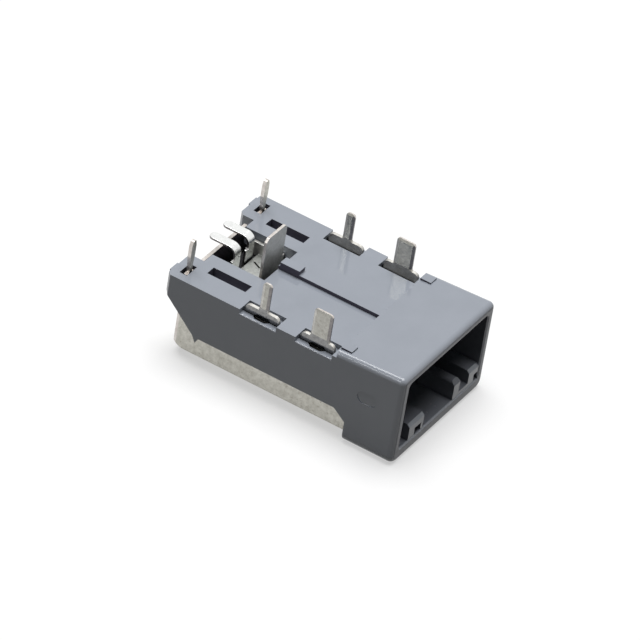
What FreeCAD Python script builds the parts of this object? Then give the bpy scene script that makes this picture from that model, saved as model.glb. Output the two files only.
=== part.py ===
"""Right-angle shielded board header with two signal contacts, lying with its board side up.

The mouth looks towards -Y, the solder tails point towards +Z and X runs across the width.
The origin is under the middle of the part, on the plane of the hood's lowest face.
"""
import FreeCAD, Part
import math
import os

V = FreeCAD.Vector

# Working allowances, in millimetres
PAST = 1.0               # how far a cutting box reaches past the part
LAP = 0.1                # overlap of forms that are joined
SKIN = 0.01              # thin overlap where two forms would only touch
EDGE_TOL = 1e-4          # tolerance for finding edges
LONG_EDGE = 1.0          # an edge that runs further than this is a long one

# Housing: overall size and levels, in millimetres
WIDTH = 13.74            # across the side faces
LENGTH = 22.12           # mouth face to the rear bosses
BODY_TOP = 7.6           # rear top face above the hood's lowest face
BODY_LOW = 2.9           # lower edge of the rear side walls
ARM_REAR = 10.93         # rear face of the two arms
ARM_CORNER = 0.3         # outer rear corner of an arm
ARM_ROUND = 0.35         # inner rear corner of an arm
BOSS_IN, BOSS_OUT = 5.2, 6.25
BOSS_ROOT = 0.2          # how deep a boss is set into its arm
BOSS_LIFT = 0.15         # how far its foot stands over the rear slope
SLOPE_FOOT = 7.8         # where the rear slope of the side wall begins
SLOPE_TOP = 5.85         # height at which it meets the rear face
TOP_WALL = 1.6           # thickness of the top over the shell
SIDE_WALL = 0.57         # thickness of the side walls over the shell

# Hood, the raised and deepened front of the housing
HOOD_STEP_Y = -4.85      # rear edge of the raised hood top
HOOD_STEP = 0.52         # its height there over the rear top face
HOOD_RISE = 0.30         # further rise to the mouth face
HOOD_REAR_Y = -6.46      # rear face of the hood below the side walls
SLANT_LONG, SLANT_HIGH = 1.1, 0.88   # slant between that face and the side wall's lower edge
HOOD_ROUND_Y = -5.95     # the long top edges are rounded from here on
HOOD_TOP_R = 0.5
HOOD_LOW_R = 0.9
HOOD_REAR_LOW_CUT = 0.2
FACE_R = 0.48            # rounding all round the mouth face
MARK_Y, MARK_Z = -8.05, 5.15         # middle of a plain moulding mark on the left side
MARK_LONG, MARK_HIGH, MARK_DEEP = 1.75, 1.1, 0.06

# Mouth
MOUTH_WALL = 0.92        # side walls of the mouth
MOUTH_HALF = WIDTH / 2 - MOUTH_WALL
MOUTH_LOW = 1.2
MOUTH_TOP = 7.6
MOUTH_R = 0.4
MOUTH_BEVEL = 0.12
THROAT_Y = -7.2          # behind this plane the mouth is narrower
THROAT_STEP = 0.65       # how much narrower it is on each side
THROAT_HALF = MOUTH_HALF - THROAT_STEP
THROAT_LOW = 1.7
THROAT_TOP = 7.0
THROAT_END = -3.7
BACK_WALL = 0.6

# Guides on the mouth's floor
GUIDE_BACK = 0.08        # how far their front ends stand behind the mouth face
RAIL_X0, RAIL_X1, RAIL_TOP = -4.5, -2.3, 2.7
BLOCK_WIDE, BLOCK_TOP = 1.45, 2.7
BLOCK_X0 = MOUTH_HALF - BLOCK_WIDE
KEY_X0, KEY_X1, KEY_TOP, KEY_ROUND = 2.2, 3.1, 2.95, 0.35
KEY_TOP_R = 0.245
STEP_TOP, STEP_LONG = 1.5, 0.9   # low step between the key rib and the block
RAIL_BEVEL = 0.25
POCKET_W, POCKET_H, POCKET_DEEP = 0.95, 0.7, 2.2
POCKET_SILL = 0.02       # rise of its floor over the mouth's floor
SIDE_POCKET_W = 0.6      # pocket between the block and the side wall
RAIL_POCKET_X = -3.12

# Board side
RIB_HALF, RIB_TOP = 0.43, 0.33
PAD_TOP = 0.70           # the three pads carry the board at this height over the top face
PAD_IN, PAD_OUT, PAD_LONG = 5.43, 6.31, 0.98
REAR_PAD_Y0, REAR_PAD_Y1 = 2.76, 4.55
NOTCH_HALF, NOTCH_FRONT = 2.43, 4.67
NOTCH_WIDE, NOTCH_STEP = 3.6, ARM_REAR - 1.37
CORE_IN, CORE_OUT, CORE_Y0, CORE_Y1, CORE_DEEP = 3.77, 4.73, 4.97, ARM_REAR - 2.37, 1.1
PIN_SLOT_IN, PIN_SLOT_OUT = 4.65, 6.1
PIN_SLOT_FRONT, PIN_SLOT_BACK = 0.16, 0.24   # free length before and behind the rear wall
RECESS_IN, RECESS_DEEP = 5.35, 0.42
RECESS_LIP_R = 0.1
SCOOP_LONG, SCOOP_DEEP, SCOOP_END = 1.6, 0.32, 0.35
SCOOP_FLOOR = 0.3        # height of the scoop's floor over the shell's room
RECESS_GAP = 0.14        # free length at each end of a tail's shoulder

# Side details of the housing
PIP_Y, PIP_WIDE, PIP_DROP = 7.6, 0.3, 0.5

# Sheet metal of the outer shell
SHEET = 0.3
SHEET_FIT = 0.05         # gap between the shell and the housing around it
SHELL_HALF = WIDTH / 2 - SIDE_WALL - SHEET_FIT
SHELL_LOW = 0.62
SHELL_FRONT = -6.58
REAR_WALL_Y = ARM_REAR - 1.2         # front face of the rear wall
SHELL_SIDE_REAR = REAR_WALL_Y - 0.13
SHELL_SIDE_TOP = BODY_TOP - TOP_WALL - SHEET_FIT
SHELL_CORNER = 0.75      # cut-off lower rear corner of a side plate
SHELL_FRONT_DROP = 1.5   # how far its upper edge falls towards the front
FOLD_R = 0.45            # outside radius of the rear fold
LOW_EDGE_R = 0.24        # rounding of the two long folds
REAR_WALL_HALF = SHELL_HALF - 0.4
REAR_WALL_TOP = 7.36
REAR_LIP_LEFT, REAR_LIP_RIGHT = NOTCH_WIDE - LAP, 3.0    # ends of its raised lip
REAR_SHOULDER_Z = BODY_TOP - TOP_WALL - SHEET_FIT
PIN_X, PIN_TOP = 5.3, 10.5
PIN_NECK_W, PIN_NECK_TOP = 0.42, 8.2
PIN_BELLY_W, PIN_BELLY_LOW, PIN_BELLY_HIGH = 0.64, 9.0, 10.0
PIN_TIP_W, PIN_TIP_R = 0.36, 0.16
PIN_CURVE_R, PIN_BELLY_R = 0.4, 0.3
PIN_FOOT_IN, PIN_FOOT_OUT, PIN_FOOT_TOP = 4.85, 5.8, 7.4

# Tails of the shell: middle in Y, width, shoulder length, corner style
TAIL_TOP = 10.6
TAIL_ROOT = 0.5          # how far a tail's form reaches down into its side plate
SHOULDER_TOP = BODY_TOP + 0.35
SHOULDER_R = 0.42
REAR_TAIL_Y, REAR_TAIL_W, REAR_TAIL_R = 2.36, 0.82, 0.34
REAR_SHOULDER = (0.84, 3.98)
FRONT_TAIL_Y, FRONT_TAIL_W = -2.84, 1.7
FRONT_SHOULDER = (-4.31, -1.19)
FRONT_TAIL_R = 0.32
COIN_WIDE, COIN_DEEP = 0.22, 0.08    # pressed bevels along the edges of the tails
COIN_START = 0.12                    # how far over the shoulder they begin

# Inner shield around the carrier, with the ground tab
INNER_SHEET = 0.3
INNER_GAP = 0.2          # between the outer and the inner shield
INNER_HALF = SHELL_HALF - SHEET - INNER_GAP
INNER_TOP = BODY_TOP - TOP_WALL - SHEET_FIT
INNER_REAR = REAR_WALL_Y - 0.6
SLEEVE_HALF, SLEEVE_LOW, SLEEVE_TOP = 2.05, 2.3, 5.7
SLEEVE_FRONT = -6.5
SLEEVE_FIT = 0.05
TAB_HALF, TAB_Y, TAB_CUT, TAB_SHEET = 1.5, 5.44, 0.3, 0.25
TAB_TOP = TAIL_TOP
EAR_GAP = 0.05           # between the shield's ears and the notch walls
EAR_HALF = NOTCH_HALF - EAR_GAP
EAR_Y0, EAR_UP = 5.72, 1.0
EAR_PAST = 0.6           # how far an ear reaches past the window's front edge
SLIT_REAR = (1.02, 7.63)             # ends of the slanted slit in the cover, as (x, y)
SLIT_FRONT = (0.59, 6.8)
SLIT_WIDE = 0.13

# Signal contacts
CONTACT_X = 1.0          # half of the pitch
STRIP = 0.21
STRIP_W = 0.88
SHOULDER_OUT, SHOULDER_Z = 0.32, 7.2   # ledge on the left of each leg
MATE_W, MATE_TIP_W = 0.5, 0.2
STRIP_TOP = BODY_TOP + PAD_TOP
STRIP_TIP = ARM_REAR - 0.17
LEG_Y = ARM_REAR - 2.89  # front face of the upright legs
BEND_R = 0.75            # outside radius of the bend
PIN_Z = 4.0              # middle of the mating pins
MATE_TIP = -5.9
TIP_BEVEL = 0.45
WINDOW_Y0 = LEG_Y - 0.12             # the shield's window for the legs is open to the rear
WINDOW_HALF = EAR_HALF - INNER_SHEET

# Carrier that holds the contacts
CARRIER_FIT = 0.03
NOSE_END = -4.4
NOSE_FIT = 0.1

FRONT = -LENGTH / 2
REAR = LENGTH / 2
HALF = WIDTH / 2
SHEET_IN = SHELL_HALF - SHEET
CAVITY_HALF = SHELL_HALF + SHEET_FIT
CAVITY_TOP = BODY_TOP - TOP_WALL


def box(x0, x1, y0, y1, z0, z1):
    """Box between two corners."""
    return Part.makeBox(x1 - x0, y1 - y0, z1 - z0, V(x0, y0, z0))


def rounded(points, radii):
    """Closed wire through points in a plane, with a radius for each corner."""
    count = len(points)
    corners = []
    for i, point in enumerate(points):
        back = points[i - 1] - point
        ahead = points[(i + 1) % count] - point
        back = back * (1 / back.Length)
        ahead = ahead * (1 / ahead.Length)
        half = back.getAngle(ahead) / 2
        run = radii[i] / math.tan(half)
        middle = back + ahead
        depth = radii[i] / math.sin(half) - radii[i]
        mid = point + middle * (depth / middle.Length) if radii[i] else point
        corners.append((point + back * run, mid, point + ahead * run))
    edges = []
    for i, (start, mid, end) in enumerate(corners):
        if radii[i]:
            edges.append(Part.Arc(start, mid, end).toShape())
        edges.append(Part.LineSegment(end, corners[(i + 1) % count][0]).toShape())
    return Part.Wire(edges)


def polygon(points):
    """Closed polygon wire."""
    return Part.makePolygon(points + [points[0]])


def prism_x(wire, x0, x1):
    """Solid of a wire that lies in the YZ plane, from x0 to x1."""
    face = Part.Face(wire)
    face.translate(V(x0, 0, 0))
    return face.extrude(V(x1 - x0, 0, 0))


def prism_z(wire, z0, z1):
    """Solid of a wire that lies in the XY plane, from z0 to z1."""
    face = Part.Face(wire)
    face.translate(V(0, 0, z0))
    return face.extrude(V(0, 0, z1 - z0))


def prism_y(wire, y0, y1):
    """Solid of a wire that lies in the XZ plane, from y0 to y1."""
    face = Part.Face(wire)
    face.translate(V(0, y0, 0))
    return face.extrude(V(0, y1 - y0, 0))


def yz(points):
    """Polygon in the YZ plane from (y, z) pairs."""
    return polygon([V(0, y, z) for y, z in points])


def xz(points):
    """Polygon in the XZ plane from (x, z) pairs."""
    return polygon([V(x, 0, z) for x, z in points])


def mirrored(shape):
    """The same shape on the other side of the middle plane."""
    return shape.mirror(V(0, 0, 0), V(1, 0, 0))


def both_sides(shape):
    """A shape and its mirror image."""
    return [shape, mirrored(shape)]


def round_edges(shape, radius, wanted):
    """Fillet the edges for which wanted(start, end) is true."""
    chosen = []
    for edge in shape.Edges:
        ends = [v.Point for v in edge.Vertexes]
        if len(ends) == 2 and wanted(ends[0], ends[1]):
            chosen.append(edge)
    return shape.makeFillet(radius, chosen)


def at(axis, value):
    """Test that both ends of an edge lie on a plane."""
    def test(a, b):
        return abs(getattr(a, axis) - value) < EDGE_TOL and abs(getattr(b, axis) - value) < EDGE_TOL
    return test


def along_y(a, b):
    """Test that an edge is long in Y."""
    return abs(a.y - b.y) > LONG_EDGE


def hood_top(y):
    """Height of the sloping hood top at a place along the length."""
    share = (HOOD_STEP_Y - y) / (HOOD_STEP_Y - FRONT)
    return BODY_TOP + HOOD_STEP + HOOD_RISE * share


def side_profile():
    """Outline of the housing behind the hood, seen from the side."""
    return yz([(HOOD_REAR_Y, BODY_LOW - SLANT_HIGH), (HOOD_REAR_Y + SLANT_LONG, BODY_LOW),
               (SLOPE_FOOT, BODY_LOW), (ARM_REAR, SLOPE_TOP), (ARM_REAR, BODY_TOP), (HOOD_REAR_Y, BODY_TOP)])


def hood_box():
    """Front of the housing with its rounded edges."""
    cut = HOOD_REAR_LOW_CUT
    outline = yz([(FRONT, 0), (HOOD_REAR_Y - cut, 0), (HOOD_REAR_Y, cut),
                  (HOOD_REAR_Y, hood_top(HOOD_REAR_Y)), (FRONT, hood_top(FRONT))])
    block = prism_x(outline, -HALF, HALF)

    def low_long(a, b):
        return along_y(a, b) and at("z", 0)(a, b)

    def top_long(a, b):
        return along_y(a, b) and min(a.z, b.z) > BODY_TOP

    block = round_edges(block, HOOD_LOW_R, low_long)
    block = round_edges(block, HOOD_TOP_R, top_long)
    return round_edges(block, FACE_R, at("y", FRONT))


def hood_neck():
    """Short length between the rounded hood and the step."""
    outline = yz([(HOOD_REAR_Y, BODY_LOW), (HOOD_STEP_Y, BODY_LOW), (HOOD_STEP_Y, hood_top(HOOD_STEP_Y)),
                  (HOOD_ROUND_Y, hood_top(HOOD_ROUND_Y)), (HOOD_REAR_Y, hood_top(HOOD_REAR_Y))])
    neck = prism_x(outline, -HALF, HALF)

    def top_front(a, b):
        along = abs(a.x - b.x) < EDGE_TOL and abs(a.y - b.y) > LAP
        return along and min(a.z, b.z) > BODY_TOP and max(a.y, b.y) < HOOD_ROUND_Y + EDGE_TOL

    return round_edges(neck, HOOD_TOP_R, top_front)


def arm_plan(sign):
    """Plan of one side of the housing, from the step to the rear boss."""
    pts = [(0, HOOD_REAR_Y), (HALF, HOOD_REAR_Y),
           (HALF, ARM_REAR - ARM_CORNER), (HALF - ARM_CORNER, ARM_REAR),
           (NOTCH_WIDE + ARM_ROUND, ARM_REAR), (NOTCH_WIDE, ARM_REAR - ARM_ROUND), (NOTCH_WIDE, NOTCH_STEP),
           (NOTCH_HALF, NOTCH_STEP), (NOTCH_HALF, NOTCH_FRONT), (0, NOTCH_FRONT)]
    return polygon([V(sign * x, y, 0) for x, y in pts])


def rear_body():
    """Rear of the housing: side profile cut to the plan with its open notch."""
    slab = prism_x(side_profile(), -HALF, HALF)
    plan = prism_z(arm_plan(1), 0, BODY_TOP)
    plan = plan.fuse(prism_z(arm_plan(-1), 0, BODY_TOP))
    body = slab.common(plan)
    for sign in (1, -1):
        mid = sign * (BOSS_IN + BOSS_OUT) / 2
        half = (BOSS_OUT - BOSS_IN) / 2
        flare = (REAR - ARM_REAR) / 2
        root = ARM_REAR - BOSS_ROOT
        boss = polygon([V(mid - half - flare, root, 0), V(mid - half, REAR, 0),
                        V(mid + half, REAR, 0), V(mid + half + flare, root, 0)])
        body = body.fuse(prism_z(boss, SLOPE_TOP + BOSS_LIFT, BODY_TOP))
    return body


def shell_space():
    """Room inside the housing for the shell, the shield and the carrier."""
    end = REAR_WALL_Y + SHEET + SHEET_FIT
    room = box(-CAVITY_HALF, CAVITY_HALF, SHELL_FRONT - SHEET_FIT, end, SHELL_LOW - SHEET_FIT, CAVITY_TOP)
    below = box(-CAVITY_HALF, CAVITY_HALF, HOOD_REAR_Y, end, -PAST, SHELL_LOW)
    return room.fuse(below)


def throat_block():
    """Inner walls of the mouth where the metal shell lies outside them."""
    half = SHEET_IN - SHEET_FIT
    return box(-half, half, SHELL_FRONT - SHEET_FIT - SKIN, THROAT_END + BACK_WALL,
               SHELL_LOW + SHEET + SHEET_FIT, CAVITY_TOP + SKIN)


def mouth_space():
    """Room that the mating plug enters, with its bevelled lip."""
    wide = box(-MOUTH_HALF, MOUTH_HALF, FRONT - PAST, THROAT_Y, MOUTH_LOW, MOUTH_TOP)
    wide = round_edges(wide, MOUTH_R, along_y)
    narrow = box(-THROAT_HALF, THROAT_HALF, THROAT_Y - LAP, THROAT_END, THROAT_LOW, THROAT_TOP)
    narrow = round_edges(narrow, MOUTH_R, along_y)
    return wide.fuse(narrow)


def rounded_rect(y, x, low, high, r):
    """Rectangle with round corners on a plane across the part."""
    return rounded([V(x, y, low), V(x, y, high), V(-x, y, high), V(-x, y, low)], [r] * 4)


def mouth_bevel():
    """Tapered cut that breaks the edge of the mouth."""
    over = LAP / 2
    grow = MOUTH_BEVEL + over
    outer = rounded_rect(FRONT - over, MOUTH_HALF + grow, MOUTH_LOW - grow, MOUTH_TOP + grow, MOUTH_R + grow)
    inner = rounded_rect(FRONT + MOUTH_BEVEL, MOUTH_HALF, MOUTH_LOW, MOUTH_TOP, MOUTH_R)
    return Part.makeLoft([outer, inner], True, True)


def guide(x0, x1, top, bevel):
    """One guide on the mouth's floor with a bevelled top front edge."""
    front = FRONT + GUIDE_BACK
    end = THROAT_END + LAP
    low = MOUTH_LOW - LAP
    outline = yz([(front, low), (end, low), (end, top), (front + bevel, top), (front, top - bevel)])
    return prism_x(outline, x0, x1)


def guide_pocket(x, wide):
    """Square blind pocket in the front end of a guide."""
    low = MOUTH_LOW + POCKET_SILL
    return box(x - wide / 2, x + wide / 2, FRONT - PAST, FRONT + POCKET_DEEP, low, low + POCKET_H)


def key_rib():
    """Taller rib with a rounded front end."""
    rib = guide(KEY_X0, KEY_X1, KEY_TOP, KEY_ROUND)

    def top_long(a, b):
        return along_y(a, b) and at("z", KEY_TOP)(a, b)

    return round_edges(rib, KEY_TOP_R, top_long)


def board_pads():
    """Rib down the middle and the three pads that carry the board."""
    rib = box(-RIB_HALF, RIB_HALF, HOOD_STEP_Y - LAP, NOTCH_FRONT, BODY_TOP - LAP, BODY_TOP + RIB_TOP)
    rear = box(-RIB_HALF, RIB_HALF, REAR_PAD_Y0, REAR_PAD_Y1, BODY_TOP, BODY_TOP + PAD_TOP)
    side = box(PAD_IN, PAD_OUT, HOOD_STEP_Y - PAD_LONG, HOOD_STEP_Y, BODY_TOP, BODY_TOP + PAD_TOP)
    return [rib, rear] + both_sides(side)


def recess(shoulder):
    """Cuts for one tail's shoulder on the right side: shallow recess, slot and scoop."""
    y0, y1 = shoulder[0] - RECESS_GAP, shoulder[1] + RECESS_GAP
    floor = BODY_TOP - RECESS_DEEP
    low = floor - RECESS_LIP_R
    shallow = box(RECESS_IN, HALF + PAST, y0, y1, floor, BODY_TOP + PAST)
    lip = box(HALF - RECESS_LIP_R, HALF + PAST, y0, y1, low, floor + LAP)
    rod = Part.makeCylinder(RECESS_LIP_R, y1 - y0, V(HALF - RECESS_LIP_R, y0, low), V(0, 1, 0))
    slot = box(SHEET_IN - SHEET_FIT * 2, CAVITY_HALF, y0, y1, CAVITY_TOP - LAP, floor + LAP)
    mid = (y0 + y1) / 2
    long_in, long_out = SCOOP_LONG / 2, SCOOP_LONG / 2 - SCOOP_END
    near, far = CAVITY_HALF - SKIN, CAVITY_HALF + SCOOP_DEEP
    plan = polygon([V(near, mid - long_in, 0), V(far, mid - long_out, 0),
                    V(far, mid + long_out, 0), V(near, mid + long_in, 0)])
    scoop = prism_z(plan, CAVITY_TOP + SCOOP_FLOOR, floor + LAP)
    return [shallow, lip.cut(rod), slot, scoop]


def top_cuts():
    """Pockets, pin slots and recesses in the board side."""
    core = box(CORE_IN, CORE_OUT, CORE_Y0, CORE_Y1, BODY_TOP - CORE_DEEP, BODY_TOP + PAST)
    front, back = REAR_WALL_Y - PIN_SLOT_FRONT, REAR_WALL_Y + SHEET + PIN_SLOT_BACK
    pin = box(PIN_SLOT_IN, PIN_SLOT_OUT, front, back, CAVITY_TOP - LAP, BODY_TOP + PAST)
    cuts = [core, pin] + recess(REAR_SHOULDER) + recess(FRONT_SHOULDER)
    return cuts + [mirrored(c) for c in cuts]


def pips():
    """Small pointed drops under the side walls' lower edges."""
    root = BODY_LOW + LAP
    outline = yz([(PIP_Y - PIP_WIDE, root), (PIP_Y + PIP_WIDE, root), (PIP_Y, BODY_LOW - PIP_DROP)])
    return both_sides(prism_x(outline, CAVITY_HALF, HALF))


def side_mark():
    """Plain shallow oval left by the mould on the left side of the hood."""
    y0, y1 = MARK_Y - MARK_LONG / 2, MARK_Y + MARK_LONG / 2
    z0, z1 = MARK_Z - MARK_HIGH / 2, MARK_Z + MARK_HIGH / 2
    radius = MARK_HIGH / 2 - SKIN
    outline = rounded([V(0, y0, z0), V(0, y1, z0), V(0, y1, z1), V(0, y0, z1)], [radius] * 4)
    return prism_x(outline, -HALF - PAST, -HALF + MARK_DEEP)


def housing():
    """Moulded housing, one piece."""
    body = rear_body().fuse([hood_neck(), hood_box()])
    body = body.cut(shell_space())
    body = body.fuse(throat_block())
    body = body.cut(mouth_space())
    body = body.cut(mouth_bevel())
    body = body.cut(sleeve_outer(SLEEVE_FIT, THROAT_END - LAP, THROAT_END + BACK_WALL + LAP))
    step = box(KEY_X1 - LAP, BLOCK_X0 + LAP, FRONT + GUIDE_BACK, FRONT + GUIDE_BACK + STEP_LONG,
               MOUTH_LOW - LAP, STEP_TOP)
    rail = guide(RAIL_X0, RAIL_X1, RAIL_TOP, RAIL_BEVEL)
    block = guide(BLOCK_X0, MOUTH_HALF, BLOCK_TOP, RAIL_BEVEL)
    body = body.fuse([rail, block, key_rib(), step] + board_pads() + pips())
    side_pocket = guide_pocket(MOUTH_HALF - SIDE_POCKET_W / 2, SIDE_POCKET_W)
    body = body.cut([guide_pocket(RAIL_POCKET_X, POCKET_W), side_pocket, side_mark()])
    return body.cut(top_cuts()).removeSplitter()


def tail(shoulder, middle, width, tip_r):
    """Tail on the right side: rounded shoulder, blade with a round tip and pressed bevels."""
    a, b = middle - width / 2, middle + width / 2
    y0, y1 = shoulder
    low = SHELL_SIDE_TOP - TAIL_ROOT
    corners = [(y0, low, 0), (y0, SHOULDER_TOP, SHOULDER_R), (a, SHOULDER_TOP, 0), (a, TAIL_TOP, tip_r),
               (b, TAIL_TOP, tip_r), (b, SHOULDER_TOP, 0), (y1, SHOULDER_TOP, SHOULDER_R), (y1, low, 0)]
    outline = rounded([V(0, y, z) for y, z, r in corners], [r for y, z, r in corners])
    blade = prism_x(outline, SHEET_IN, SHELL_HALF)
    start = SHOULDER_TOP + COIN_START
    bevels = []
    for x, inward in ((SHEET_IN, COIN_DEEP), (SHELL_HALF, -COIN_DEEP)):
        for y, along in ((a, COIN_WIDE), (b, -COIN_WIDE)):
            side = polygon([V(x, y, 0), V(x + inward, y, 0), V(x, y + along, 0)])
            bevels.append(prism_z(side, start, TAIL_TOP))
        end = polygon([V(x, 0, TAIL_TOP), V(x + inward, 0, TAIL_TOP), V(x, 0, TAIL_TOP - COIN_WIDE)])
        bevels.append(prism_y(end, a, b))
    return blade.cut(bevels)


def side_plate():
    """Right side plate of the shell with its two tails."""
    corner_y, corner_z = SHELL_SIDE_REAR - SHELL_CORNER, SHELL_LOW + SHELL_CORNER / 2
    outline = yz([(SHELL_FRONT, SHELL_LOW), (corner_y, SHELL_LOW), (SHELL_SIDE_REAR, corner_z),
                  (SHELL_SIDE_REAR, SHELL_SIDE_TOP), (THROAT_END, SHELL_SIDE_TOP),
                  (SHELL_FRONT, SHELL_SIDE_TOP - SHELL_FRONT_DROP)])
    plate = prism_x(outline, SHEET_IN, SHELL_HALF)
    rear = tail(REAR_SHOULDER, REAR_TAIL_Y, REAR_TAIL_W, REAR_TAIL_R)
    front = tail(FRONT_SHOULDER, FRONT_TAIL_Y, FRONT_TAIL_W, FRONT_TAIL_R)
    return plate.fuse([rear, front])


def rear_pin(sign):
    """Leaf-shaped tail on an upper corner of the rear wall."""
    low = REAR_SHOULDER_Z - PAST
    half_leaf = [(PIN_NECK_W / 2, PIN_FOOT_TOP, 0),
                 (PIN_NECK_W / 2, PIN_NECK_TOP, PIN_CURVE_R),
                 (PIN_BELLY_W / 2, PIN_BELLY_LOW, PIN_CURVE_R),
                 (PIN_BELLY_W / 2, PIN_BELLY_HIGH, PIN_BELLY_R),
                 (PIN_TIP_W / 2, PIN_TOP, PIN_TIP_R)]
    up = [(PIN_X + out, z, r) for out, z, r in half_leaf]
    down = [(PIN_X - out, z, r) for out, z, r in reversed(half_leaf)]
    corners = [(PIN_FOOT_OUT, low, 0), (PIN_FOOT_OUT, PIN_FOOT_TOP, 0)] + up + down
    corners += [(PIN_FOOT_IN, PIN_FOOT_TOP, 0), (PIN_FOOT_IN, low, 0)]
    outline = rounded([V(sign * x, 0, z) for x, z, r in corners], [r for x, z, r in corners])
    return prism_y(outline, REAR_WALL_Y, REAR_WALL_Y + SHEET)


def rear_wall():
    """Rear wall of the shell, folded up from the bottom plate."""
    left, right = -REAR_LIP_LEFT, REAR_LIP_RIGHT
    pts = [(-REAR_WALL_HALF, SHELL_LOW + FOLD_R), (REAR_WALL_HALF, SHELL_LOW + FOLD_R),
           (REAR_WALL_HALF, REAR_SHOULDER_Z), (right, REAR_SHOULDER_Z), (right, REAR_WALL_TOP),
           (left, REAR_WALL_TOP), (left, REAR_SHOULDER_Z), (-REAR_WALL_HALF, REAR_SHOULDER_Z)]
    wall = prism_y(xz(pts), REAR_WALL_Y, REAR_WALL_Y + SHEET)
    return wall.fuse([rear_pin(1), rear_pin(-1)])


def shield_shell():
    """Outer shell: one stamped and folded sheet with six tails."""
    side_end = SHELL_SIDE_REAR - SHELL_CORNER
    bottom = box(-SHELL_HALF, SHELL_HALF, SHELL_FRONT, side_end, SHELL_LOW, SHELL_LOW + SHEET)
    half = REAR_WALL_HALF
    centre = V(-half, REAR_WALL_Y + SHEET - FOLD_R, SHELL_LOW + FOLD_R)
    flap = box(-half, half, side_end - LAP, centre.y, SHELL_LOW, SHELL_LOW + SHEET)
    outer = Part.makeCylinder(FOLD_R, 2 * half, centre, V(1, 0, 0))
    inner = Part.makeCylinder(FOLD_R - SHEET, 2 * half, centre, V(1, 0, 0))
    quarter = box(-half, half, centre.y, centre.y + FOLD_R, SHELL_LOW, centre.z)
    fold = outer.common(quarter).cut(inner)
    plates = both_sides(side_plate())
    shell = bottom.fuse(plates + [flap, fold, rear_wall()]).removeSplitter()

    def long_low(a, b):
        outside = at("x", SHELL_HALF)(a, b) or at("x", -SHELL_HALF)(a, b)
        return outside and at("z", SHELL_LOW)(a, b) and along_y(a, b)

    return round_edges(shell, LOW_EDGE_R, long_low)


def sleeve_outer(grow, y0, y1):
    """Outside of the shield's sleeve between two places, grown by a clearance."""
    return box(-SLEEVE_HALF - grow, SLEEVE_HALF + grow, y0, y1, SLEEVE_LOW - grow, SLEEVE_TOP + grow)


def ground_tab():
    """Tab that is cut out of the cover and bent up."""
    root, cut = INNER_TOP - INNER_SHEET, TAB_HALF - TAB_CUT
    side = TAB_TOP - TAB_CUT
    outline = xz([(-TAB_HALF, root), (TAB_HALF, root), (TAB_HALF, side),
                  (cut, TAB_TOP), (-cut, TAB_TOP), (-TAB_HALF, side)])
    return prism_y(outline, TAB_Y, TAB_Y + TAB_SHEET)


def cover_slit():
    """Narrow slanted slit in the cover beside the right contact."""
    rear, front = V(*SLIT_REAR, 0), V(*SLIT_FRONT, 0)
    along = front - rear
    across = V(-along.y, along.x, 0) * (SLIT_WIDE / 2 / along.Length)
    plan = polygon([rear + across, front + across, front - across, rear - across])
    return prism_z(plan, INNER_TOP - INNER_SHEET - LAP, INNER_TOP + LAP)


def inner_shield():
    """Inner shield: cover over the carrier, sleeve in the mouth and ground tab."""
    front = THROAT_END + BACK_WALL
    t = INNER_SHEET
    low = SHELL_LOW + SHEET
    outside = box(-INNER_HALF, INNER_HALF, front, INNER_REAR, low, INNER_TOP)
    inside = box(-INNER_HALF + t, INNER_HALF - t, front + t, INNER_REAR + PAST, low - PAST, INNER_TOP - t)
    sleeve = sleeve_outer(0, SLEEVE_FRONT, front + t)
    bore = box(-SLEEVE_HALF + t, SLEEVE_HALF - t, SLEEVE_FRONT - PAST, front + t + LAP,
               SLEEVE_LOW + t, SLEEVE_TOP - t)
    above = INNER_TOP + PAST
    window = box(-WINDOW_HALF, WINDOW_HALF, WINDOW_Y0, INNER_REAR + PAST, INNER_TOP - t - PAST, above)
    blank = box(-TAB_HALF, TAB_HALF, TAB_Y - (TAB_TOP - INNER_TOP), TAB_Y, INNER_TOP - t - LAP, above)
    shield = outside.cut(inside).fuse(sleeve).cut([bore, window, blank, cover_slit()])
    ear = box(EAR_HALF - t, EAR_HALF, EAR_Y0, WINDOW_Y0 + EAR_PAST, INNER_TOP - t, INNER_TOP + EAR_UP)
    return shield.fuse([ground_tab()] + both_sides(ear)).removeSplitter()


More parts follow.
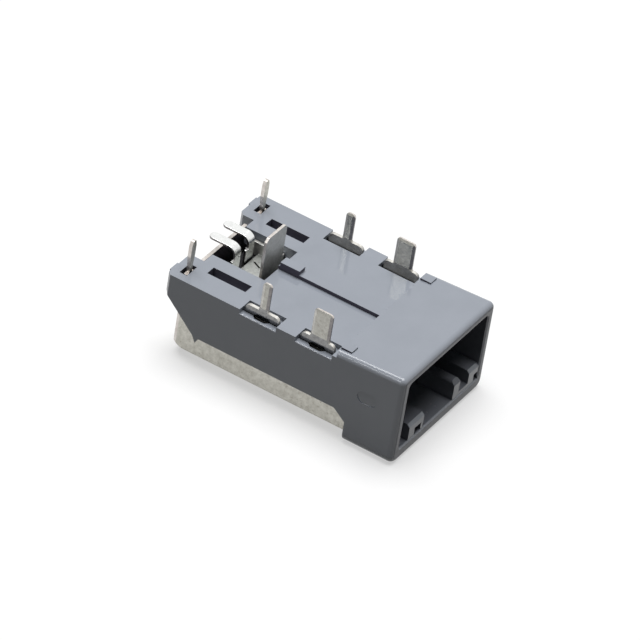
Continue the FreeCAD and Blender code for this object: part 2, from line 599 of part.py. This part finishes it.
def contact(sign):
    """Signal contact: mating pin, run through the carrier, upright leg and soldering foot."""
    x = sign * CONTACT_X
    out, inn = BEND_R, BEND_R - STRIP
    cy, cz = LEG_Y + BEND_R, STRIP_TOP - BEND_R
    foot = box(x - STRIP_W / 2, x + STRIP_W / 2, cy, STRIP_TIP - STRIP_W / 2, STRIP_TOP - STRIP, STRIP_TOP)
    tip = Part.makeCylinder(STRIP_W / 2, STRIP, V(x, STRIP_TIP - STRIP_W / 2, STRIP_TOP - STRIP), V(0, 0, 1))
    ring = Part.makeCylinder(out, STRIP_W, V(x - STRIP_W / 2, cy, cz), V(1, 0, 0))
    ring = ring.cut(Part.makeCylinder(inn, STRIP_W, V(x - STRIP_W / 2, cy, cz), V(1, 0, 0)))
    bend = ring.common(box(x - STRIP_W, x + STRIP_W, cy - out, cy, cz, cz + out))
    leg = box(x - STRIP_W / 2, x + STRIP_W / 2, LEG_Y, LEG_Y + STRIP, PIN_Z, cz)
    wide = box(x - STRIP_W / 2 - SHOULDER_OUT, x + STRIP_W / 2, LEG_Y, LEG_Y + STRIP, PIN_Z, SHOULDER_Z)
    run = box(x - STRIP_W / 2, x + STRIP_W / 2, NOSE_END, LEG_Y + STRIP, PIN_Z - STRIP, PIN_Z)
    half, tip_half = MATE_W / 2, MATE_TIP_W / 2
    root, taper = NOSE_END + LAP, MATE_TIP + TIP_BEVEL
    blade = polygon([V(x - half, root, 0), V(x - half, taper, 0), V(x - tip_half, MATE_TIP, 0),
                     V(x + tip_half, MATE_TIP, 0), V(x + half, taper, 0), V(x + half, root, 0)])
    pin = prism_z(blade, PIN_Z - STRIP, PIN_Z)
    return foot.fuse([tip, bend, leg, wide, run, pin]).removeSplitter()


def contact_carrier(contacts):
    """Moulded carrier that grips the two contacts inside the shield."""
    t, fit = INNER_SHEET, CARRIER_FIT
    front = THROAT_END + BACK_WALL + t + fit
    half = INNER_HALF - t - fit
    low = SHELL_LOW + SHEET
    body = box(-half, half, front, INNER_REAR, low, INNER_TOP - t - fit)
    nose_half = SLEEVE_HALF - t - NOSE_FIT
    nose = box(-nose_half, nose_half, NOSE_END, front + LAP,
               SLEEVE_LOW + t + NOSE_FIT, SLEEVE_TOP - t - NOSE_FIT)
    return body.fuse(nose).cut(contacts).removeSplitter()


def build():
    """All pieces of the part by node name."""
    contacts = {"signal_contact_left": contact(-1), "signal_contact_right": contact(1)}
    pieces = {
        "housing": housing(),
        "shield_shell": shield_shell(),
        "inner_shield": inner_shield(),
        "contact_carrier": contact_carrier(list(contacts.values())),
    }
    pieces.update(contacts)
    return pieces


os.makedirs("parts", exist_ok=True)
for name, shape in build().items():
    solids = shape.Solids
    whole = solids[0] if len(solids) == 1 else Part.makeCompound(solids)
    print(name, "solids", len(solids), "valid", shape.isValid(), "volume", round(shape.Volume, 3))
    whole.exportStep("parts/" + name + ".step")
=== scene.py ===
import bpy
import bmesh
import math
from mathutils import Matrix, Vector


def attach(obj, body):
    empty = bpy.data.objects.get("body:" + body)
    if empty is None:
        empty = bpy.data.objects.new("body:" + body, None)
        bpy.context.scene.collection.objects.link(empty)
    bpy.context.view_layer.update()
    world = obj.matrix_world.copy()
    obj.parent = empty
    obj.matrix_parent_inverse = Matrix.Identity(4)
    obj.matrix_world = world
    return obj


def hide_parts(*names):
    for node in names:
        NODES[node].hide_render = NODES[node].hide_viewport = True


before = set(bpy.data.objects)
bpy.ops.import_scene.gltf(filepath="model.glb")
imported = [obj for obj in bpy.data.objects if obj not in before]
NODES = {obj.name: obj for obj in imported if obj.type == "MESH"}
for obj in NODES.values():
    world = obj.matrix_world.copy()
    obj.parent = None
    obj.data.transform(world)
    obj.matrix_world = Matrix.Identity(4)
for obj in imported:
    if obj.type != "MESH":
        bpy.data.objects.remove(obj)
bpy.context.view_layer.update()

SCENE = bpy.context.scene
MM = 0.001


# Materials

# Noise patterns: scale per millimetre, detail and roughness
CLOUDS, WEAR, GRAIN = (0.35, 4, 0.55), (2.2, 5, 0.55), (7.0, 2, 0.55)
MOTTLE, SPECKS, DULLING = (2.6, 6, 0.72), (4.2, 5, 0.72), (3.0, 5, 0.6)
ROLLING, WAVES = (6.0, 3, 0.6), (2.5, 4, 0.6)
EDGE_MOTTLE, EDGE_DULLING, SHEAR = (2.4, 5, 0.65), (5.0, 3, 0.55), (8.0, 3, 0.6)

# Parts of a noise's range over which a tone or a gloss changes, and specks grow out of the tone
BROAD, NARROW, SPARSE = (0.3, 0.7), (0.34, 0.62), (0.56, 0.72)

# Painted shade in narrow places: rays, reach in millimetres, how dark plastic is painted, and how
# open a place must be to get none
SHADE_RAYS, PLASTIC_SHADE_REACH, SHEET_SHADE_REACH = 8, 0.7, 0.9
PLASTIC_SHADE_DEPTH, OPEN = 0.25, 0.75

# How much smoother and rougher than its set value plastic gets, and how much rougher a cut edge
SMOOTHER, ROUGHER, EDGE_ROUGHER = 0.04, 0.06, 0.12

# Bumps: how strong they look, and heights in millimetres
GRAIN_STRENGTH, WAVE_STRENGTH, SHEAR_STRENGTH = 0.2, 0.3, 0.4
LINE_HEIGHT, WAVE_HEIGHT = 0.012, 0.015

# Directions in which noise is drawn out into lines, which are shorter with a larger number
LENGTHWISE, ACROSS, UPRIGHT = (1, 0.3, 1), (0.3, 1, 1), (1, 1, 0.3)
UPRIGHT_SHORTER, UPRIGHT_SHORTEST = (1, 1, 0.4), (1, 1, 0.5)


class Graph:
    """Small helper that builds a material's node tree, with its noise laid out in millimetres."""

    def __init__(self, name):
        self.mat = bpy.data.materials.new(name)
        self.mat.use_nodes = True
        self.tree = self.mat.node_tree
        self.tree.nodes.clear()
        out = self.add("ShaderNodeOutputMaterial")
        self.bsdf = self.add("ShaderNodeBsdfPrincipled")
        self.link(self.bsdf.outputs["BSDF"], out.inputs["Surface"])
        coord = self.add("ShaderNodeTexCoord")
        self.mm = self.scaled(coord.outputs["Object"], (1 / MM, 1 / MM, 1 / MM))

    def add(self, kind, **values):
        node = self.tree.nodes.new(kind)
        for key, value in values.items():
            setattr(node, key, value)
        return node

    def link(self, a, b):
        self.tree.links.new(a, b)

    def scaled(self, vector, scale):
        node = self.add("ShaderNodeMapping")
        node.inputs["Scale"].default_value = scale
        self.link(vector, node.inputs["Vector"])
        return node.outputs["Vector"]

    def noise(self, pattern, lines=None):
        """Noise pattern, drawn out into lines in a direction if one is given."""
        scale, detail, rough = pattern
        vector = self.scaled(self.mm, lines) if lines else self.mm
        node = self.add("ShaderNodeTexNoise")
        node.inputs["Scale"].default_value = scale
        node.inputs["Detail"].default_value = detail
        node.inputs["Roughness"].default_value = rough
        self.link(vector, node.inputs["Vector"])
        return node.outputs[0]

    def ramp(self, value, dark, light, span):
        """Colour that runs from dark to light over a span of a value."""
        node = self.add("ShaderNodeValToRGB")
        for element, place, colour in zip(node.color_ramp.elements, span, (dark, light)):
            element.position = place
            element.color = (*colour, 1)
        self.link(value, node.inputs["Fac"])
        return node.outputs["Color"]

    def spread(self, value, low, high, span=(0.0, 1.0)):
        """Number that runs from low to high over a span of a value."""
        node = self.add("ShaderNodeMapRange")
        node.inputs["From Min"].default_value, node.inputs["From Max"].default_value = span
        node.inputs["To Min"].default_value = low
        node.inputs["To Max"].default_value = high
        self.link(value, node.inputs["Value"])
        return node.outputs["Result"]

    def mix(self, share, a, b, mode="MIX"):
        node = self.add("ShaderNodeMix", data_type="RGBA", blend_type=mode)
        for socket, value in ((node.inputs[0], share), (node.inputs[6], a), (node.inputs[7], b)):
            if isinstance(value, float):
                socket.default_value = value
            elif isinstance(value, tuple):
                socket.default_value = (*value, 1)
            else:
                self.link(value, socket)
        return node.outputs[2]

    def painted_crevice_shade(self, colour, reach, shade_depth):
        """Darken a colour where other surfaces stand close, as painted shade in crevices."""
        near = self.add("ShaderNodeAmbientOcclusion", samples=SHADE_RAYS)
        near.inputs["Distance"].default_value = reach * MM
        shade = self.ramp(near.outputs["AO"], (shade_depth,) * 3, (1, 1, 1), (0.0, OPEN))
        return self.mix(1.0, colour, shade, "MULTIPLY")

    def bump(self, height, strength, distance, normal=None):
        node = self.add("ShaderNodeBump")
        node.inputs["Strength"].default_value = strength
        node.inputs["Distance"].default_value = distance * MM
        self.link(height, node.inputs["Height"])
        if normal:
            self.link(normal, node.inputs["Normal"])
        return node.outputs["Normal"]


def plastic(name, dark, light, rough, grain, gloss):
    """Moulded plastic: faint cloudy tone, fine moulded grain and soft gloss."""
    g = Graph(name)
    tone = g.ramp(g.noise(CLOUDS), dark, light, BROAD)
    # painted shade where other surfaces stand close
    g.link(g.painted_crevice_shade(tone, PLASTIC_SHADE_REACH, PLASTIC_SHADE_DEPTH), g.bsdf.inputs["Base Color"])
    wear = g.spread(g.noise(WEAR), rough - SMOOTHER, rough + ROUGHER, BROAD)
    g.link(wear, g.bsdf.inputs["Roughness"])
    g.link(g.bump(g.noise(GRAIN), GRAIN_STRENGTH, grain), g.bsdf.inputs["Normal"])
    g.bsdf.inputs["Specular IOR Level"].default_value = gloss
    return g.mat


def plated(name, dark, light, speck, rough, rougher, brush, lines=0.25, shade_depth=0.35):
    """Tin-plated sheet: mottled tone, small dull specks, faint rolling lines and uneven gloss."""
    g = Graph(name)
    base = g.ramp(g.noise(MOTTLE), dark, light, NARROW)
    dots = g.spread(g.noise(SPECKS), 0.0, 1.0, SPARSE)
    # painted shade where other surfaces stand close
    g.link(g.painted_crevice_shade(g.mix(dots, base, speck), SHEET_SHADE_REACH, shade_depth), g.bsdf.inputs["Base Color"])
    g.bsdf.inputs["Metallic"].default_value = 1.0
    g.link(g.spread(g.noise(DULLING), rough, rough + rougher, BROAD), g.bsdf.inputs["Roughness"])
    rolling = g.bump(g.noise(ROLLING, brush), lines, LINE_HEIGHT)
    g.link(g.bump(g.noise(WAVES), WAVE_STRENGTH, WAVE_HEIGHT, rolling), g.bsdf.inputs["Normal"])
    return g.mat


def sheared(name, dark, light, rough, grain):
    """Cut edge of plated sheet: duller, warmer metal with fine shear marks."""
    g = Graph(name)
    g.link(g.ramp(g.noise(EDGE_MOTTLE), dark, light, BROAD), g.bsdf.inputs["Base Color"])
    g.bsdf.inputs["Metallic"].default_value = 1.0
    dull = g.spread(g.noise(EDGE_DULLING), rough, rough + EDGE_ROUGHER, BROAD)
    g.link(dull, g.bsdf.inputs["Roughness"])
    g.link(g.bump(g.noise(SHEAR, UPRIGHT), SHEAR_STRENGTH, grain), g.bsdf.inputs["Normal"])
    return g.mat


# Housing: outside; darker copies that paint shade in the small pockets, on the sides of the rib and
# pads, and in the mouth; and the carrier
HOUSING = plastic("housing_plastic", (0.264, 0.287, 0.328), (0.282, 0.305, 0.348), 0.09, 0.002, 0.5)
# darker copy of the housing plastic: painted shade in the pockets
POCKET_SHADE = plastic("pocket_shade_plastic", (0.112, 0.110, 0.142), (0.148, 0.146, 0.184), 0.50, 0.006, 0.12)
# near-black copy of the housing plastic: painted shade on the sides of the rib and pads
STEP_SHADE = plastic("step_shade_plastic", (0.078, 0.072, 0.098), (0.100, 0.093, 0.124), 0.40, 0.004, 0.15)
# darker, duller copy of the housing plastic: painted shade inside the mouth and on the mouth face
INSIDE_SHADE = plastic("mouth_shade_plastic", (0.165, 0.175, 0.200), (0.185, 0.195, 0.220), 0.22, 0.003, 0.25)
CARRIER = plastic("carrier_plastic", (0.010, 0.010, 0.012), (0.016, 0.016, 0.018), 0.45, 0.006, 0.3)

# Outer shell: sheet, blades of the side tails, a darker copy painting shade on their rolled
# shoulders, a lighter copy painting light on shoulder tops and bevels, shaded inside
SHELL = plated("shell_tin", (0.375, 0.365, 0.325), (0.51, 0.50, 0.455), (0.25, 0.23, 0.19),
               0.34, 0.16, ACROSS)
TAIL = plated("tail_tin", (0.29, 0.285, 0.26), (0.39, 0.385, 0.355), (0.23, 0.21, 0.18),
              0.16, 0.10, UPRIGHT, lines=0.1, shade_depth=0.6)
# darker copy of the sheet tin: painted shade on the shoulders' outer faces
ROLLED_SHADE = plated("rolled_shade_tin", (0.16, 0.16, 0.16), (0.26, 0.26, 0.26), (0.10, 0.10, 0.10),
                0.12, 0.08, LENGTHWISE)
# lighter copy of the sheet tin: painted light on shoulder tops and inner faces and on bevels facing
# +Y
LIT_TIN = plated("lit_tin", (0.40, 0.39, 0.37), (0.54, 0.53, 0.50), (0.30, 0.28, 0.25),
                   0.38, 0.12, LENGTHWISE, lines=0.15, shade_depth=0.9)
SHADED = plated("shaded_tin", (0.085, 0.072, 0.092), (0.13, 0.115, 0.14), (0.06, 0.05, 0.065),
                0.34, 0.12, UPRIGHT_SHORTER, lines=0.1)

# Inner shield: duller cover, then the tab and ears; and the contacts
COVER = plated("cover_tin", (0.32, 0.33, 0.32), (0.44, 0.45, 0.43), (0.20, 0.20, 0.18),
               0.28, 0.14, LENGTHWISE)
SHIELD = plated("shield_tin", (0.42, 0.42, 0.40), (0.54, 0.54, 0.52), (0.34, 0.33, 0.30),
                0.40, 0.12, UPRIGHT_SHORTEST, lines=0.08, shade_depth=0.85)
CONTACT = plated("contact_tin", (0.80, 0.81, 0.80), (0.88, 0.89, 0.88), (0.72, 0.72, 0.70),
                 0.16, 0.10, LENGTHWISE)

# Cut edges: bright ones, and a darker copy that paints shade along the sides
CUT_EDGE = sheared("cut_edge", (0.48, 0.44, 0.41), (0.68, 0.65, 0.62), 0.26, 0.008)
SIDE_EDGE_SHADE = sheared("side_edge_shade", (0.15, 0.14, 0.14), (0.25, 0.24, 0.24), 0.24, 0.006)


# Finish of each face, with its painted shade and light

# Places on the housing, in millimetres
BODY_TOP = 7.6                           # rear top face
POCKET_X0, POCKET_X1 = 3.7, 6.2          # core pockets and pin slots lie between these
POCKET_Y0, POCKET_Y1 = 4.9, 10.4
POCKET_Z0, POCKET_Z1 = 5.9, 7.58
FACE_Y = -11.02                          # the mouth face lies in front of this
MOUTH_X = 5.96                           # the duller inside of the mouth lies between these
MOUTH_Y0, MOUTH_Y1 = -10.76, -3.6
MOUTH_Z0, MOUTH_Z1 = 1.19, 7.62
STEP_X, STEP_Y = 6.5, -5.6               # sides of the rib and pads lie inside and behind these

# Places on the outer shell
SIDE_PLATE_X = 5.9                       # side plates and their tails lie outside this
SHEET_MID = 6.1                          # middle of the side plates' thickness
REAR_WALL_Y = 9.7                        # the rear wall and its tails lie behind this
REAR_INNER_X = 3.6                       # the rear wall's shaded inner face lies inside this
FOLD_TOP = 1.1                           # the folds along the bottom end below this
SHOULDERS = ((-4.31, -1.19), (0.84, 3.98))    # where the tails' shoulders start and end in Y
ROLLED_LOW, ROLLED_TOP = 7.1, 8.15       # they are rolled between these heights
ROLLED_OUT, ROLLED_STEPS = 0.09, 8       # how far and in how many steps they are rounded
SLACK = 0.001                            # allowance for points on a shoulder's end
CREASE = math.radians(12)                # ridges sharper than this stay crisp

# Places on the inner shield
COVER_TOP = 6.0                          # the shield's ears and tab rise over this
EAR_TOP = 7.0                            # only the tab rises over this
TAB_X, TAB_Y = 2.0, 5.9                  # the tab lies inside and in front of these

# Least shares of a face's normal along an axis
MOSTLY, SQUARELY = 0.5, 0.9              # it faces mostly, or almost straight, that way
UPWARD, PRESSED = 0.3, 0.2               # it leans upward, or lies on a pressed bevel


def housing_finish_and_shade(centre, normal):
    """Finish of the housing: polished outside; the duller mouth and mouth face, the raw small
    pockets and the sides of the rib and pads are darker as painted shade.
    """
    across = abs(centre.x)
    deep = POCKET_Z0 < centre.z < POCKET_Z1
    # the pockets get painted shade
    if POCKET_Y0 < centre.y < POCKET_Y1 and POCKET_X0 < across < POCKET_X1 and deep:
        return POCKET_SHADE
    # the mouth face gets the mouth's plastic with its painted shade
    if centre.y < FACE_Y and normal.y < -SQUARELY:
        return INSIDE_SHADE
    sideways = abs(normal.x) > MOSTLY or normal.y < -MOSTLY
    # the sides of the rib and pads get painted shade
    if sideways and BODY_TOP < centre.z and centre.y > STEP_Y and across < STEP_X:
        return STEP_SHADE
    inside = across < MOUTH_X and MOUTH_Y0 < centre.y < MOUTH_Y1 and MOUTH_Z0 < centre.z < MOUTH_Z1
    return INSIDE_SHADE if inside else HOUSING


def side_plate_finish_and_shade(centre, normal):
    """Finish of a side plate and its tails: sheet, blades, and painted shade and light on the rolled
    shoulders, the blades' bevels and their edges.
    """
    flat = abs(normal.x) >= MOSTLY
    if ROLLED_LOW < centre.z < ROLLED_TOP:
        # outer faces of the shoulders get painted shade, their tops and inner faces painted light
        return ROLLED_SHADE if flat and normal.x * centre.x > 0 else LIT_TIN
    if not flat:
        # cut edges facing up stay bright, the others get painted shade
        return CUT_EDGE if normal.z > UPWARD else SIDE_EDGE_SHADE
    if centre.z < ROLLED_TOP:
        return SHELL
    # bevels facing -Y get painted shade, those facing +Y painted light
    if normal.y < -PRESSED:
        return SIDE_EDGE_SHADE
    return LIT_TIN if normal.y > PRESSED else TAIL


def shell_finish_and_shade(centre, normal):
    """Finish of the outer shell: sheet, cut rims and the rear wall's shaded inner face."""
    if centre.z < FOLD_TOP:
        return SHELL
    if abs(centre.x) > SIDE_PLATE_X:
        return side_plate_finish_and_shade(centre, normal)
    if centre.y <= REAR_WALL_Y:
        return SHELL
    if abs(centre.x) < REAR_INNER_X and normal.y < -MOSTLY:
        return SHADED
    return CUT_EDGE if abs(normal.y) < MOSTLY else SHELL


def shield_finish(centre, normal):
    """Finish of the inner shield: tab and ears, cut rims of the tab, or duller cover."""
    if centre.z <= COVER_TOP:
        return COVER
    tab = centre.z > EAR_TOP or (centre.y < TAB_Y and abs(centre.x) < TAB_X)
    return CUT_EDGE if tab and abs(normal.y) < MOSTLY else SHIELD


def contact_finish_and_shade(centre, normal):
    """Finish of a contact: bright, with cut edges along both sides darkened as painted shade."""
    return SIDE_EDGE_SHADE if abs(normal.x) > MOSTLY else CONTACT


# Pieces: each solid's form gets softened edges and its finish

MERGE = 0.002                            # points closer than this are joined, in millimetres
FLAT_ANGLE = math.radians(0.8)           # faces that meet under less than this are one face
SOFT_ANGLE = math.radians(28)            # edges sharper than this are softened
SOFT_STEPS = 2
NORMAL_WEIGHT = 60                       # how far large faces set the shading of their edges
PLASTIC_EDGE, CARRIER_EDGE, SHEET_EDGE = 0.045, 0.05, 0.03    # widths of softened edges


def rolled(point):
    """How far a point of a side tail's shoulder moves out, to either side of the sheet."""
    inside = any(y0 - SLACK < point.y < y1 + SLACK for y0, y1 in SHOULDERS)
    if not inside or abs(point.x) < SIDE_PLATE_X or not ROLLED_LOW < point.z < ROLLED_TOP:
        return 0
    share = (point.z - ROLLED_LOW) / (ROLLED_TOP - ROLLED_LOW)
    outward = 1 if abs(point.x) > SHEET_MID else -1
    return math.copysign(ROLLED_OUT * math.sin(math.pi * share) * outward, point.x)


def pressed(edge):
    """Test for the ridges of the bevels pressed along the side tails."""
    a, b = (v.co for v in edge.verts)
    run = (b - a).normalized()
    blade = min(a.z, b.z) > ROLLED_TOP and abs(a.x) > SIDE_PLATE_X
    return blade and abs(run.x) < MOSTLY and edge.calc_face_angle() > CREASE


def refined(node, name, width, materials, finish=None, crease=None, heights=(), bulge=None):
    """Copy of a solid's node with its sharp edges softened, in place of the plain one.

    finish(centre, normal), in millimetres, gives a face's material. Faces are split at the given
    heights, and bulge(point) says how far a point of the outline moves in X.
    """
    mesh = bpy.data.meshes.new(name)
    bm = bmesh.new()
    bm.from_mesh(NODES[node].data)
    bmesh.ops.scale(bm, vec=(1 / MM,) * 3, verts=bm.verts)
    bmesh.ops.remove_doubles(bm, verts=bm.verts, dist=MERGE)
    bmesh.ops.dissolve_limit(bm, angle_limit=FLAT_ANGLE, verts=bm.verts, edges=bm.edges)
    for height in heights:
        whole = bm.verts[:] + bm.edges[:] + bm.faces[:]
        bmesh.ops.bisect_plane(bm, geom=whole, plane_co=(0, 0, height), plane_no=(0, 0, 1))
    if bulge:
        for vert in bm.verts:
            vert.co.x += bulge(vert.co)
    bmesh.ops.recalc_face_normals(bm, faces=bm.faces)
    for face in bm.faces:
        face.smooth = True
    for edge in bm.edges:
        edge.smooth = not (crease and crease(edge))
    bm.to_mesh(mesh)
    bm.free()
    form = bpy.data.objects.new(name + "_form", mesh)
    SCENE.collection.objects.link(form)
    bevel = form.modifiers.new("edges", "BEVEL")
    bevel.width = width
    bevel.segments = SOFT_STEPS
    bevel.limit_method = "ANGLE"
    bevel.angle_limit = SOFT_ANGLE
    bevel.use_clamp_overlap = True
    bevel.miter_outer = "MITER_ARC"
    weighted = form.modifiers.new("normals", "WEIGHTED_NORMAL")
    weighted.keep_sharp = True
    weighted.weight = NORMAL_WEIGHT
    graph = bpy.context.evaluated_depsgraph_get()
    final = bpy.data.meshes.new_from_object(form.evaluated_get(graph))
    final.materials.clear()
    for material in materials:
        final.materials.append(material)
    if finish:
        for face in final.polygons:
            face.material_index = materials.index(finish(face.center, face.normal))
    final.transform(Matrix.Scale(MM, 4))
    final.name = name
    bpy.data.objects.remove(form)
    piece = bpy.data.objects.new(name, final)
    SCENE.collection.objects.link(piece)
    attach(piece, "root")
    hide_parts(node)


steps = [ROLLED_LOW + (ROLLED_TOP - ROLLED_LOW) * i / ROLLED_STEPS for i in range(ROLLED_STEPS + 1)]
plastics = [HOUSING, POCKET_SHADE, INSIDE_SHADE, STEP_SHADE]
tins = [SHELL, CUT_EDGE, ROLLED_SHADE, TAIL, LIT_TIN, SIDE_EDGE_SHADE, SHADED]
covers = [SHIELD, CUT_EDGE, COVER]
contacts = [CONTACT, SIDE_EDGE_SHADE]
refined("housing", "moulded_housing", PLASTIC_EDGE, plastics, housing_finish_and_shade)
refined("contact_carrier", "carrier", CARRIER_EDGE, [CARRIER])
refined("shield_shell", "outer_shell", SHEET_EDGE, tins,
        shell_finish_and_shade, pressed, steps, rolled)
refined("inner_shield", "cover_shield", SHEET_EDGE, covers, shield_finish)
refined("signal_contact_left", "left_contact", SHEET_EDGE, contacts, contact_finish_and_shade)
refined("signal_contact_right", "right_contact", SHEET_EDGE, contacts, contact_finish_and_shade)


# Floor and background

WHITE = (1, 1, 1, 1)
FLOOR_SIZE, FLOOR_CELLS = 2.5, 8
FLOOR_SEEN, FLOOR_BOUNCE = 0.45, 0.09    # floor as it is seen, and as it lights the part
FLOOR_GLOW, FLOOR_ROUGH = 0.5, 0.9
WORLD_SEEN, WORLD_BOUNCE = 1.0, 0.021    # background as it is seen, and as it lights the part


def seen_rays(tree):
    """1 for the rays that show the background: straight, mirrored or through something clear."""
    path = tree.nodes.new("ShaderNodeLightPath")
    total = path.outputs["Is Camera Ray"]
    for ray in ("Is Glossy Ray", "Is Transmission Ray"):
        node = tree.nodes.new("ShaderNodeMath")
        node.operation = "MAXIMUM"
        tree.links.new(total, node.inputs[0])
        tree.links.new(path.outputs[ray], node.inputs[1])
        total = node.outputs[0]
    return total


def floor_material():
    """Pale matte floor that looks white to the camera and bounces less light."""
    g = Graph("floor_white")
    shown = seen_rays(g.tree)
    g.link(g.mix(shown, (FLOOR_BOUNCE,) * 3, (FLOOR_SEEN,) * 3), g.bsdf.inputs["Base Color"])
    g.link(g.spread(shown, 0.0, FLOOR_GLOW), g.bsdf.inputs["Emission Strength"])
    g.bsdf.inputs["Emission Color"].default_value = WHITE
    g.bsdf.inputs["Roughness"].default_value = FLOOR_ROUGH
    g.bsdf.inputs["Specular IOR Level"].default_value = 0.0
    return g.mat


def plain_floor():
    """Floor under the part."""
    mesh = bpy.data.meshes.new("floor")
    bm = bmesh.new()
    bmesh.ops.create_grid(bm, x_segments=FLOOR_CELLS, y_segments=FLOOR_CELLS, size=FLOOR_SIZE)
    bm.to_mesh(mesh)
    bm.free()
    mesh.materials.append(floor_material())
    floor = bpy.data.objects.new("floor", mesh)
    SCENE.collection.objects.link(floor)


def white_world():
    """White background that lights the part only faintly."""
    world = bpy.data.worlds.new("studio")
    SCENE.world = world
    world.use_nodes = True
    tree = world.node_tree
    tree.nodes.clear()
    strength = tree.nodes.new("ShaderNodeMapRange")
    strength.inputs["To Min"].default_value = WORLD_BOUNCE
    strength.inputs["To Max"].default_value = WORLD_SEEN
    back = tree.nodes.new("ShaderNodeBackground")
    back.inputs["Color"].default_value = WHITE
    out = tree.nodes.new("ShaderNodeOutputWorld")
    tree.links.new(seen_rays(tree), strength.inputs["Value"])
    tree.links.new(strength.outputs["Result"], back.inputs["Strength"])
    tree.links.new(back.outputs["Background"], out.inputs["Surface"])


plain_floor()
white_world()


# Lamps and camera, in metres and watts

AIM = Vector((0, 0, 0.004))
FRAME_PX, FOCAL_PX, SENSOR = 640, 6500, 36
NEAREST, FARTHEST = 0.01, 20
PLACE = (-0.36384, -0.18075, 0.31378)
RIGHT = Vector((0.5305, -0.8371, 0.1335))
DOWN = Vector((-0.4595, -0.4164, -0.7845))
AHEAD = Vector((0.7123, 0.3548, -0.6056))


def area(name, place, size, power):
    """Soft square lamp that looks at the part."""
    data = bpy.data.lights.new(name, "AREA")
    data.shape = "SQUARE"
    data.size = size
    data.energy = power
    lamp = bpy.data.objects.new(name, data)
    lamp.location = place
    lamp.rotation_euler = (AIM - Vector(place)).to_track_quat("-Z", "Y").to_euler()
    SCENE.collection.objects.link(lamp)


def photo_camera():
    """Camera at the photo's viewing angle."""
    data = bpy.data.cameras.new("camera")
    data.sensor_width = SENSOR
    data.lens = SENSOR * FOCAL_PX / FRAME_PX
    data.clip_start = NEAREST
    data.clip_end = FARTHEST
    camera = bpy.data.objects.new("camera", data)
    turn = Matrix((RIGHT, -DOWN, -AHEAD)).transposed()
    camera.matrix_world = Matrix.Translation(PLACE) @ turn.to_4x4()
    SCENE.collection.objects.link(camera)
    return camera


area("top_light", (0.12, 0.1, 1.0), 0.8, 14.2)
area("side_light", (-0.71, 0.35, 0.61), 0.11, 0.44)
SCENE.camera = photo_camera()
SCENE.view_settings.view_transform = "Standard"
